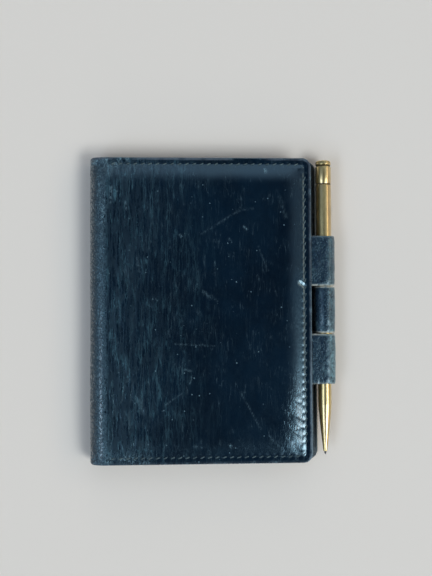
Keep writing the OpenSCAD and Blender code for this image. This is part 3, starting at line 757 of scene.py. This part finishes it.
def makeLining(name, front, bend, replaced):
    # The lining's face lies deep under the covers' boards and draws up to the leather round the spine
    g = inside
    width = coverWidth(front)
    stops = [(-arc / 2, 0.5), (6, 0.6), (30, 1.4), (width - 1.2, 1.4), (width - g["edgeStep"], 0.12)]
    if not front:
        stops = [(-arc - place, step) for place, step in stops[::-1]]
    s, y = bent(spread(stops), spread(bothSides(g["liningEnds"])), g["edgeStep"])
    distance = fromCrease(s)
    d = fromEdge(s, y, g["edgeStep"])[0]
    face = g["spineFace"] + (g["liningFace"] - g["spineFace"]) * ease(distance, -3.4, 0.6)
    soft = 0.05 * drift(s / 9, y / 11, 51) * ease(d, 0.5, 5)
    soft = soft + 0.05 * ridges(s / 2.4, y / 12, 52) * (1 - ease(distance, 2, 14)) * ease(d, 0.5, 4)
    outer = onSheet(s, y, face - roundInset(g["round"] - d, g["round"]) - soft)
    inner = onSheet(s, y, face - g["lining"])
    addSheet(name, outer, inner, liningLeather, None, "lining_leather", replaced, {"edge": d}, flip=True,
             blend=bend)


makeLining("front_lining_sheet", True, frontBend, ["front_lining", "spine_lining_2"])
makeLining("back_lining_sheet", False, backBend, ["back_lining", "spine_lining_1"])


def makePocket(name, body, front, inset, notch, replaced):
    # A flat pocket: its mouth is pressed with a line, and its back is hollow where the card slides in
    g = inside
    start, width = g["pocketStart"], coverWidth(front)
    across = spread([(start, 0.1), (start + 0.5, 0.3), (start + 6, 0.5), (width - 8, 0.9),
                     (width - inset - 0.5, 0.3), (width - inset, 0.1)])
    s = across if front else (-arc - across)[::-1]
    s, y = bent(s, spread(bothSides(g["pocketEnds"])), g["edgeStep"], notch)
    run = s if front else -arc - s
    mouth = run - start
    outerEdge = fromEdge(s, y, g["edgeStep"])[0] - (inset - g["edgeStep"]) * (run > width - 14)
    d = np.minimum(mouth, np.maximum(outerEdge, 0))
    pressed = g["mouthDepth"] * bell(mouth, g["mouthLine"], g["mouthHalf"]) * (np.abs(y) < g["mouthEnd"])
    pressed = pressed + g["seamDepth"] * bell(fromEdge(s, y)[0], seam["inset"], g["seamHalf"])
    over = ease(g["cardEnd"] - run, -1.5, 0.5) * ease(g["cardHalf"] - np.abs(y), -1.5, 0.5)
    soft = 0.04 * drift(s / 10, y / 12, 61) + 0.03 * ridges(s / 3, y / 8, 62) * (1 - over) - 0.06 * over
    face = g["pocketFace"] - roundInset(g["round"] - d, g["round"])
    outer = onSheet(s, y, face - (pressed + soft) * ease(d, 0.1, 0.8))
    inner = onSheet(s, y, g["pocketBack"] + g["recess"] * over)
    addSheet(name, outer, inner, pocketLeather, body, "pocket_leather", replaced, {"edge": d}, flip=True)


makePocket("front_pocket_leather", "front_cover", True, 0.4, None, ["front_pocket"])
makePocket("back_pocket_leather", "back_cover", False, 1.7, {"depth": 2.7, "half": 9.9}, ["back_pocket"])
print("linings and pockets made")


# Saddle stitching

stitch = {
    "length": 2.15, "radius": 0.29, "flat": 0.8, "bow": 0.30, "slant": 23.0, "sunk": 0.02, "insideSunk": 0.06,
    "stray": 0.03, "corner": 3.0, "rings": 7, "sides": 6,
}


def seamPath(front):
    # Middles and headings of the stitches, clockwise from the spine: head, corner, fore-edge, corner, tail
    inset, pitch, r = seam["inset"], seam["pitch"], stitch["corner"]
    x1, y1 = coverWidth(front) - inset, cover["height"] / 2 - inset
    x = np.arange(pitch, x1 - r + 0.2, pitch)
    y = np.arange(-(y1 - r) // pitch + 1, (y1 - r) // pitch + 1)[::-1] * pitch
    bow = r * (1 - math.sqrt(0.5))
    px = np.concatenate([x, [x1 - bow], 0 * y + x1, [x1 - bow], x[::-1]])
    py = np.concatenate([0 * x + y1, [y1 - bow], y, [bow - y1], 0 * x - y1])
    turn = np.concatenate([0 * x, [-45], 0 * y - 90, [-135], 0 * x - 180])
    return np.stack([px, py, np.radians(turn)])


def makeStitches(name, body, front, insideFace, seed, skip=None):
    # Each stitch is a slim capsule whose two ends bow down into the leather, turned by the slant
    k = stitch
    rings, sides = k["rings"], k["sides"]
    path = seamPath(front)
    if skip:
        path = path[:, ~((path[0] > skip[0]) & (np.abs(path[1]) < skip[1]))]
    x, y, heading = path[:, :, None, None]
    rng = np.random.default_rng(seed)
    t = np.linspace(-1, 1, rings)[:, None]
    a = np.linspace(0, 2 * math.pi, sides, endpoint=False)[None]
    radius = k["radius"] * np.sqrt(np.maximum(1 - t ** 4, 0.04))
    along, side = t * k["length"] / 2 + 0 * a, radius * np.cos(a)
    up = radius * np.sin(a) * k["flat"] - k["bow"] * t ** 4
    turn = heading + np.radians(k["slant"]) * np.cos(2 * heading) * (0.8 + 0.4 * rng.random(x.shape))
    lift = rng.uniform(-k["stray"], k["stray"], x.shape)
    px = x + along * np.cos(turn) - side * np.sin(turn)
    py = y + along * np.sin(turn) + side * np.cos(turn)
    if insideFace:
        face = np.where(x > inside["pocketStart"] + 0.3, inside["pocketFace"], inside["liningFace"])
        depth = face - k["insideSunk"] + up + lift
    else:
        depth = cover["board"] - k["sunk"] - up + lift
    points = onSheet(px if front else -arc - px, py, depth).reshape(-1, 3)
    one = gridFaces(rings, sides, wrapCols=True)
    caps = np.array([[0, *range(1, sides)], [rings * sides - 1 - i for i in range(sides)]])
    if front == insideFace:
        one, caps = one[:, ::-1], caps[:, ::-1]
    shift = (np.arange(len(x)) * rings * sides)[:, None, None]
    addPiece(name, points, [(one[None] + shift).reshape(-1, 4), (caps[None] + shift).reshape(-1, sides)],
             coverThread, body, "sewing_thread")


makeStitches("front_stitching", "front_cover", True, False, 71)
makeStitches("back_stitching", "back_cover", False, False, 72)
makeStitches("front_inner_stitching", "front_cover", True, True, 73)
makeStitches("back_inner_stitching", "back_cover", False, True, 74, skip=(80, 11))
print("stitching made")


# Pencil loops

loop = {
    "pencilX": 90.2, "midZ": 6.6, "middleR": 3.92, "thick": 0.95, "tailThick": 0.31, "tail": 8.6,
    "edge": 0.34, "backStep": 3.0, "crown": 0.16, "sideDrop": 0.10, "wobble": 0.14, "free": (17.5, 14.0),
    "flats": 41, "turns": 60, "rows": 168, "easing": 5,
}
# Upper straps ride the front cover; pale is the flesh that shows at a strap's lower and upper cut side
straps = {
    "top": {"upper": True, "height": 20.7, "middle": 20.25, "seed": 81, "rub": 0.5, "pale": (0.75, 0.10)},
    "bottom": {"upper": True, "height": 20.7, "middle": -20.25, "seed": 91, "rub": 1.35, "pale": (0.25, 0.6)},
    "middle": {"upper": False, "height": 19.3, "middle": 0.0, "seed": 101, "rub": 0.75, "pale": (0.95, 0.85)},
}


def strapPath(edgeX):
    # From the upper tail over the pencil, round it and back into the cover, as points (x, z) with the
    # strap's thickness at each; measured for a front loop
    g = loop
    cx, cz, r, thin, tailX = g["pencilX"], g["midZ"], g["middleR"], g["tailThick"], edgeX - g["tail"]
    turn = np.radians(np.linspace(88, -172, g["turns"]))
    before = [(tailX, 10.73, thin), (edgeX - 4, 10.73, thin), (edgeX - 0.4, 10.72, 0.33),
              (edgeX + 1.4, 10.62, 0.72), (cx - 2.2, 10.50, 0.92)]
    after = [(cx - r - 0.1, cz + 0.5, 0.92), (cx - r - 0.75, cz + 1.9, 0.86), (edgeX + 0.95, cz + 3.25, 0.62),
             (edgeX - 0.3, 10.38, 0.33), (edgeX - 4, 10.37, thin), (tailX, 10.37, thin)]
    bend = np.stack([cx + r * np.cos(turn), cz + r * np.sin(turn), np.full(len(turn), g["thick"])], -1)
    x, z, t = np.concatenate([before, bend, after]).T
    length = np.concatenate([[0], np.cumsum(np.hypot(np.diff(x), np.diff(z)))])
    at = np.linspace(0, length[-1], g["rows"])
    x, z, t = (np.interp(at, length, v) for v in (x, z, t))
    for _ in range(g["easing"]):        # the corners of the line are eased by averaging neighbours
        for v in (x, z, t):
            v[1:-1] = (v[:-2] + 2 * v[1:-1] + v[2:]) / 4
    return x, z, t, at


def makeLoop(key, upper, height, middle, seed, rub, pale):
    # The strap's rounded section carried along its path; the section's long side lies along Y
    g, half = loop, height / 2
    x, z, t, at = strapPath(cover["frontWidth"] if upper else cover["backWidth"] - g["backStep"])
    dx, dz = np.gradient(x), np.gradient(z)
    size = np.hypot(dx, dz)
    nx, nz = -dz / size, dx / size          # points away from the pencil on the way round
    flat = np.linspace(-1, 1, g["flats"]) * (half - g["edge"])
    bow = np.radians(np.linspace(90, -90, 9))[1:-1]
    end, face = half - g["edge"] + g["edge"] * np.cos(bow), np.full(g["flats"], 0.5)
    yy = np.concatenate([flat, end, flat[::-1], -end])
    nn = np.concatenate([face, 0.5 * np.sin(bow), -face, -0.5 * np.sin(bow)])
    path, section = np.meshgrid(at, yy, indexing="ij")
    aside = np.abs(section)
    free = ease(np.abs(path - at[-1] / 2), *g["free"])
    rough = 0.07 * drift(path / 2.4, section / 2.8, seed) + 0.05 * drift(path / 0.9, section / 1.1, seed + 1)
    rough = rough + 0.05 * ridges(path / 3.0, section / 6.0, seed + 2)
    crown = g["crown"] * (1 - (section / half) ** 2) - g["sideDrop"] * ease(aside, half - 1.6, half)
    wobble = g["wobble"] * drift(path / 5, np.sign(section) * 3.0, seed + 3)
    wobble = wobble * ease(aside, half - 2, half) * free
    off = nn[None] * t[:, None] + (crown + rough) * free * (nn > 0.4)[None]     # raised outside only
    px, pz = x[:, None] + nx[:, None] * off, z[:, None] + nz[:, None] * off
    if not upper:
        pz = cover["thick"] - pz
    points = np.stack([px, middle + section + wobble, pz], -1)
    rows, cols = points.shape[:2]
    caps = np.array([np.arange(cols)[::-1], (rows - 1) * cols + np.arange(cols)])
    faces = [gridFaces(rows, cols, wrapCols=True, flip=not upper), caps if upper else caps[:, ::-1]]
    # rubbed most where the strap turns over the pencil, and along its two edges
    outwards, edge = (px - g["pencilX"]) / g["middleR"], half - aside
    worn = rub * ease(outwards, 0.15, 0.75) + 0.75 * bell(edge, 0, 0.7) * ease(outwards, -1.6, 0.2)
    worn = worn * (0.6 + 0.4 * drift(path / 2, section / 3, seed + 5))
    worn = worn + 0.25 * ease(drift(path / 1.5, section / 1.8, seed + 6), 0.35, 0.8)
    flesh = (1 - ease(edge, 0.30, 0.62)) * np.where(section > 0, pale[1], pale[0])
    addPiece(key + "_loop_strap", points.reshape(-1, 3), faces, strapLeather,
             "front_cover" if upper else "back_cover", "loop_leather", [key + "_pencil_loop"],
             {"edge": np.clip(flesh, 0, 1), "scuff": np.clip(worn, 0, 1)})


for key, strap in straps.items():
    makeLoop(key, **strap)
print("loops made")


# Refill

refill = {
    "x0": 2.35, "x1": 79.35, "half": 57.5, "corner": 4.0, "low": 4.15, "high": 6.55, "leaves": 24,
    "gap": 0.016, "stray": 0.14, "foldX": 2.0, "foldZ": 6.6, "threadR": 0.15, "plyOff": 0.11, "plyTurn": 26,
    "stitches": 5, "stitchHalf": 10, "rings": 90, "sides": 8,
}


def makeLeaves(name, body, front, replaced, seed):
    # A stack of thin closed sheets with rounded fore-edge corners, each cut a hair differently
    g = refill
    rng = np.random.default_rng(seed)
    turn = np.radians(np.linspace(0, 90, 8))
    corner, count = g["corner"], g["leaves"]
    foreX, endY = g["x1"] - corner + corner * np.cos(turn), g["half"] - corner + corner * np.sin(turn)
    ox = np.concatenate([foreX, [g["x0"], g["x0"]], foreX[::-1]])
    oy = np.concatenate([endY, [g["half"], -g["half"]], -endY[::-1]])
    thick = (g["high"] - g["low"]) / count
    outX = ox + rng.uniform(-g["stray"], g["stray"], (count, 1)) * (ox > 10)
    outY = oy + rng.uniform(-g["stray"], g["stray"], (count, 1))
    low = g["low"] + np.arange(count)[:, None] * thick + g["gap"] / 2 + 0 * ox
    high = low + thick - g["gap"]
    if front:
        low, high = cover["thick"] - low, cover["thick"] - high
    points = np.concatenate([np.stack([outX, outY, z], -1) for z in (low, high)], 1).reshape(-1, 3)
    points = np.concatenate([points, points])       # the faces of the paper have points of their own
    n = len(ox)
    ring = np.arange(n)
    sides = np.stack([ring, np.roll(ring, -1), np.roll(ring, -1) + n, ring + n], -1)
    caps = np.array([ring[::-1], ring + n]) + count * 2 * n
    shift = (np.arange(count) * 2 * n)[:, None, None]
    faces = [(sides[None] + shift).reshape(-1, 4), (caps[None] + shift).reshape(-1, n)]
    if front:
        faces = [f[:, ::-1] for f in faces]
    face = np.repeat([0.0, 1.0], count * 2 * n)
    addPiece(name, points, faces, paper, body, "refill_paper", replaced, {"face": face}, sharp=30)


def makeFoldThread():
    # Two plies twisted round each other along the fold, in five long stitches
    g = refill
    rings, sides = g["rings"], g["sides"]
    pitch, size = 2 * g["half"] / g["stitches"], rings * sides
    a = np.linspace(0, 2 * math.pi, sides, endpoint=False)[None]
    t = np.linspace(-1, 1, rings)[:, None]
    r = g["threadR"] * np.sqrt(np.maximum(1 - t ** 20, 0.02))
    points, faces = [], []
    for i in range(g["stitches"]):
        for ply in (0, math.pi):
            turn = t * g["plyTurn"] + ply
            x = g["foldX"] + g["plyOff"] * np.cos(turn) + r * np.cos(a)
            y = (i + 0.5) * pitch - g["half"] + g["stitchHalf"] * t + 0 * a
            z = g["foldZ"] + g["plyOff"] * np.sin(turn) + r * np.sin(a)
            faces.append(gridFaces(rings, sides, first=len(points) * size, wrapCols=True, flip=True))
            points.append(np.stack([x, y, z], -1).reshape(-1, 3))
    caps = np.array([np.arange(sides), size - 1 - np.arange(sides)])[None]
    caps = (caps + (np.arange(len(points)) * size)[:, None, None]).reshape(-1, sides)
    addPiece("fold_thread", np.concatenate(points), [np.concatenate(faces), caps], foldThread, "back_cover",
             "sewing_thread", ["refill_thread"])


makeLeaves("rear_leaves", "back_cover", False, ["rear_pages"], 111)
makeLeaves("front_leaves_stack", "front_leaves", True, ["front_pages"], 112)
makeFoldThread()
print("refill made")


# Pencil

pencil = {
    "x": 90.2, "z": 6.6, "r": 3.2, "wall": 0.35, "noseY": -39.1, "capY": 52.5, "discY": 61.2,
    "discHeight": 1.2, "discRound": 0.55, "rivetR": 0.6, "sleeveR": 2.78, "joint": 0.05, "fit": 0.03,
    "groove": 0.2, "ringGroove": 0.36, "ringBelow": 1.7, "noseLength": 19.5, "spigot": 5, "tipR": 0.82,
    "leadR": 0.45, "leadOut": 1.3, "leadTop": -22.4, "lowR": 2.72, "slimFrom": -8.0, "slimTo": -32.0,
    "sides": 88, "sharp": 35, "cutEdge": 0.05, "cutMiddle": 0.29,
}


def lathe(name, body, profile, material, slot, replaced):
    # A profile of (radius, place along the pencil) turned about the pencil's axis; radius 0 is one point
    g, n = pencil, pencil["sides"]
    profile = np.array(profile, float)
    a = np.linspace(0, 2 * math.pi, n, endpoint=False)
    poles = profile[:, 0] < 1e-6
    radius, along = profile[~poles].T[:, :, None]
    rows = len(radius)
    points = np.stack([g["x"] + radius * np.cos(a), along + 0 * a, g["z"] + radius * np.sin(a)], -1)
    points = points.reshape(-1, 3)
    faces = [gridFaces(rows, n, wrapCols=True, wrapRows=not poles.any())]
    ring = np.arange(n)
    for k, base in ((0, ring), (-1, ring + (rows - 1) * n)):
        if poles[k]:
            tip, turned = np.full(n, len(points)), np.roll(base, -1)
            points = np.concatenate([points, [[g["x"], profile[k, 1], g["z"]]]])
            faces.append(np.stack([tip, turned, base] if k == 0 else [tip, base, turned], -1))
    # painted shade sits in the cap's grooves and round the end disc's foot
    x, y, z = points.T
    radius = np.hypot(x - g["x"], z - g["z"])
    paintedShade = ease(g["r"] - radius, 0.05, 0.16) * (y > g["capY"] - 0.7) * (y < g["discY"] - 0.3)
    foot = 0.7 * ease(y, g["discY"] + 0.4, g["discY"] + 0.05) * (y >= g["discY"]) * (radius > 2.2)
    addPiece(name, points, faces, material, body, slot, replaced, {"paintedShade": np.maximum(paintedShade, foot)},
             sharp=g["sharp"])


def turnedProfile(points):
    # Cuts each corner of a closed profile with a small three-point round, so that edges catch the light
    p = np.array(points, float)
    out = []
    for a, b, c in zip(np.roll(p, 1, 0), p, np.roll(p, -1, 0)):
        u, v = a - b, c - b
        lu, lv = np.hypot(*u), np.hypot(*v)
        cut = min(pencil["cutEdge"], lu / 3, lv / 3)
        out += [b + u / lu * cut, b + (u / lu + v / lv) * cut * pencil["cutMiddle"], b + v / lv * cut]
    return out


def makePencil():
    g = pencil
    r, wall, noseY, capY, discY, joint, fit, lowR, tipR, leadR, rivetR = (g[key] for key in (
        "r", "wall", "noseY", "capY", "discY", "joint", "fit", "lowR", "tipR", "leadR", "rivetR"))
    low, bore, tipY, ringY = lowR - wall, r - wall, noseY - g["noseLength"], discY - g["ringBelow"]
    # the barrel is slim below and full above, with a groove under the cap's joint
    slimY = np.linspace(g["slimFrom"], g["slimTo"], 14)[::-1]
    slimR = lowR + (r - lowR) * ease(slimY, g["slimTo"], g["slimFrom"])
    grooveR, ringR = r - g["groove"], r - g["ringGroove"]
    top = turnedProfile([(r, 0), (r, capY - 0.6), (grooveR, capY - 0.4), (grooveR, capY - joint),
                         (bore, capY - joint), (bore, 0)])[2:-2]
    lathe("pencil_barrel_tube", "pencil",
          [(low, noseY), (lowR, noseY), *zip(slimR, slimY), *top, *zip(slimR[::-1] - wall, slimY[::-1])],
          brass, "gilt_brass", ["pencil_barrel"])
    # the nose tapers with a slight belly: tip + rise * (1 - t^1.2)
    noseT = np.linspace(0, 1, 34)
    noseR = tipR + (lowR - tipR) * (1 - noseT ** 1.2)
    spigotR, spigotY, holeR = low - fit, noseY + g["spigot"], leadR + 0.1
    lathe("pencil_nose", "pencil",
          [(holeR, tipY + 0.02), (holeR, spigotY), (spigotR, spigotY), (spigotR, noseY - fit),
           *zip(noseR, noseY - fit - (g["noseLength"] - 0.13) * noseT), (tipR - 0.04, tipY + 0.04),
           (tipR - 0.12, tipY)], brass, "gilt_brass", ["pencil_nose_cone"])
    lathe("pencil_cap", "twist_cap",
          turnedProfile([(g["sleeveR"], capY + joint), (r, capY + joint), (r, ringY), (ringR, ringY + 0.2),
                         (ringR, ringY + 0.8), (r, ringY + 1.0), (r, discY), (rivetR, discY),
                         (rivetR, discY - 1), (g["sleeveR"], discY - 1)]),
          brass, "gilt_brass", ["pencil_twist_cap"])
    dome = np.radians(np.linspace(0, 90, 12))[:-1]
    rim, pinR, foot, rise = r - 0.12, rivetR - fit, g["discRound"], g["discHeight"] - g["discRound"]
    lathe("pencil_end_button", "twist_cap",
          [(0, discY - 0.8), (pinR, discY - 0.8), (pinR, discY + 0.03), (rim - 0.05, discY + 0.03),
           (rim, discY + 0.10), *zip((rim - 0.02) * np.cos(dome), discY + foot + rise * np.sin(dome)),
           (0, discY + g["discHeight"])], brass, "gilt_brass", ["pencil_end_disc"])
    leadY, leadTop = tipY - g["leadOut"], g["leadTop"]
    lathe("pencil_lead_rod", "lead_feed",
          [(0, leadTop), (leadR, leadTop), (leadR, leadY + 0.9), (0.2, leadY + 0.12), (0.13, leadY + 0.03),
           (0, leadY)], graphite, "graphite", ["pencil_lead"])


makePencil()
print("pencil made")


# Finishes for what stays as it is, and for the replaced nodes under the pieces

kept = {"back_board": board, "front_board": board, "refill_back_card": card, "refill_front_card": card,
        "pencil_guide_tube": steel, "pencil_spiral_sleeve": steel, "pencil_lead_carrier": steel}
under = {"pencil_loop": skinLeather, "pencil_": brass, "pages": paper, "thread": foldThread}
for node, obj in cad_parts.items():
    usual = next((finish for part, finish in under.items() if part in node), skinLeather)
    obj.data.materials.clear()
    obj.data.materials.append(kept.get(node, usual))
print("kept nodes finished")


# Floor, light and camera

studio = {
    "floor": (0.700, 0.635, 0.580), "floorSize": 30.0, "floorZ": -0.00006, "backdrop": (0.638, 0.631, 0.603),
    "zenith": (0.006, 0.009, 0.013), "ring": (0.045, 0.050, 0.055), "ringUp": (0.978, 0.866),
    "horizon": (0.34, 0.335, 0.33), "horizonUp": (0.530, 0.174), "lens": 53.75, "sensor": 36.0,
    "clip": (0.01, 20), "eye": (-18.7, -0.8, 362.1), "turn": (1.62, -3.18, -0.27),
}
# Soft boxes in the sky: from and to in degrees right of the zenith, then towards the head, the softness
# of their sides, and their light
softBoxes = {
    "footFlag": ((-20, 24), (-56, -14), 8, (0.010, 0.013, 0.016)),
    "left": ((-66, -14), (-60, 55), 8, (0.20, 0.27, 0.36)),
    "leftLow": ((-46, -28), (-52, -4), 7, (3.8, 4.6, 5.5)),
    "right": ((18, 60), (-4, 50), 9, (0.17, 0.20, 0.23)),
    "head": ((-14, 50), (23, 60), 11, (0.60, 0.74, 0.88)),
    "glow": ((24, 50), (-16, 6), 8, (0.12, 0.16, 0.20)),
    "windowWide": ((19, 31), (-41, -20), 6, (5.2, 6.0, 6.5)),
    "window": ((27, 46), (-37, -10), 5, (12.0, 13.0, 13.2)),
    "low": ((50, 62), (-40, 50), 5, (2.5, 2.1, 1.6)),
    "headFar": ((-58, 58), (56, 72), 7, (0.42, 0.41, 0.40)),
    "headStrip": ((-22, 22), (62, 74), 8, (2.6, 2.4, 2.1)),
    "tailFar": ((-58, 58), (-72, -62), 6, (0.42, 0.41, 0.40)),
    "tailStrip": ((-22, 22), (-76, -66), 7, (2.6, 2.4, 2.1)),
}


def makeFloor():
    half, z = studio["floorSize"] / 2, studio["floorZ"]
    mesh = bpy.data.meshes.new("floor")
    corners = [(-half, -half, z), (half, -half, z), (half, half, z), (-half, half, z)]
    mesh.from_pydata(corners, [], [(0, 1, 2, 3)])
    floor = bpy.data.objects.new("floor", mesh)
    bpy.context.scene.collection.objects.link(floor)
    finish = Finish("paleFloor", Specular_IOR_Level=0.25, Roughness=0.6)
    mesh.materials.append(finish.done(Base_Color=studio["floor"]))


def makeSky():
    # A dark ceiling that pales towards the horizon, with the soft boxes; camera rays see the backdrop
    world = bpy.data.worlds.new("studio")
    bpy.context.scene.world = world
    world.use_nodes = True
    sky = Recipe(world.node_tree)
    across, along, up = sky.parts(sky.add("TexCoord", {}, {}, "Generated"))
    rightwards, headwards = (way.reckon("ARCTAN2", up) * (180 / math.pi) for way in (across, along))
    light = sky.layers(studio["zenith"], (up.ease(*studio["ringUp"]), studio["ring"]),
                       (up.ease(*studio["horizonUp"]), studio["horizon"]))
    for (x0, x1), (y0, y1), soft, tone in softBoxes.values():
        lit = rightwards.ease(x0 - soft, x0 + soft) * rightwards.ease(x1 + soft, x1 - soft)
        lit = lit * headwards.ease(y0 - soft, y0 + soft) * headwards.ease(y1 + soft, y1 - soft)
        light = sky.mix(lit, light, tone)
    seen = sky.add("LightPath", {}, {}, "Is Camera Ray")
    glow = sky.add("Background", {}, {"Color": sky.mix(seen, light, studio["backdrop"])})
    sky.add("OutputWorld", {}, {"Surface": glow})


def makeCamera():
    camera = bpy.data.cameras.new("camera")
    camera.lens, camera.sensor_width, camera.sensor_fit = studio["lens"], studio["sensor"], "AUTO"
    camera.clip_start, camera.clip_end = studio["clip"]
    eye = bpy.data.objects.new("camera", camera)
    eye.location = [v * mm for v in studio["eye"]]
    eye.rotation_euler = [math.radians(v) for v in studio["turn"]]
    bpy.context.scene.collection.objects.link(eye)
    bpy.context.scene.camera = eye
    bpy.context.scene.view_settings.view_transform = "Standard"


makeFloor()
makeSky()
makeCamera()
print("stage set")
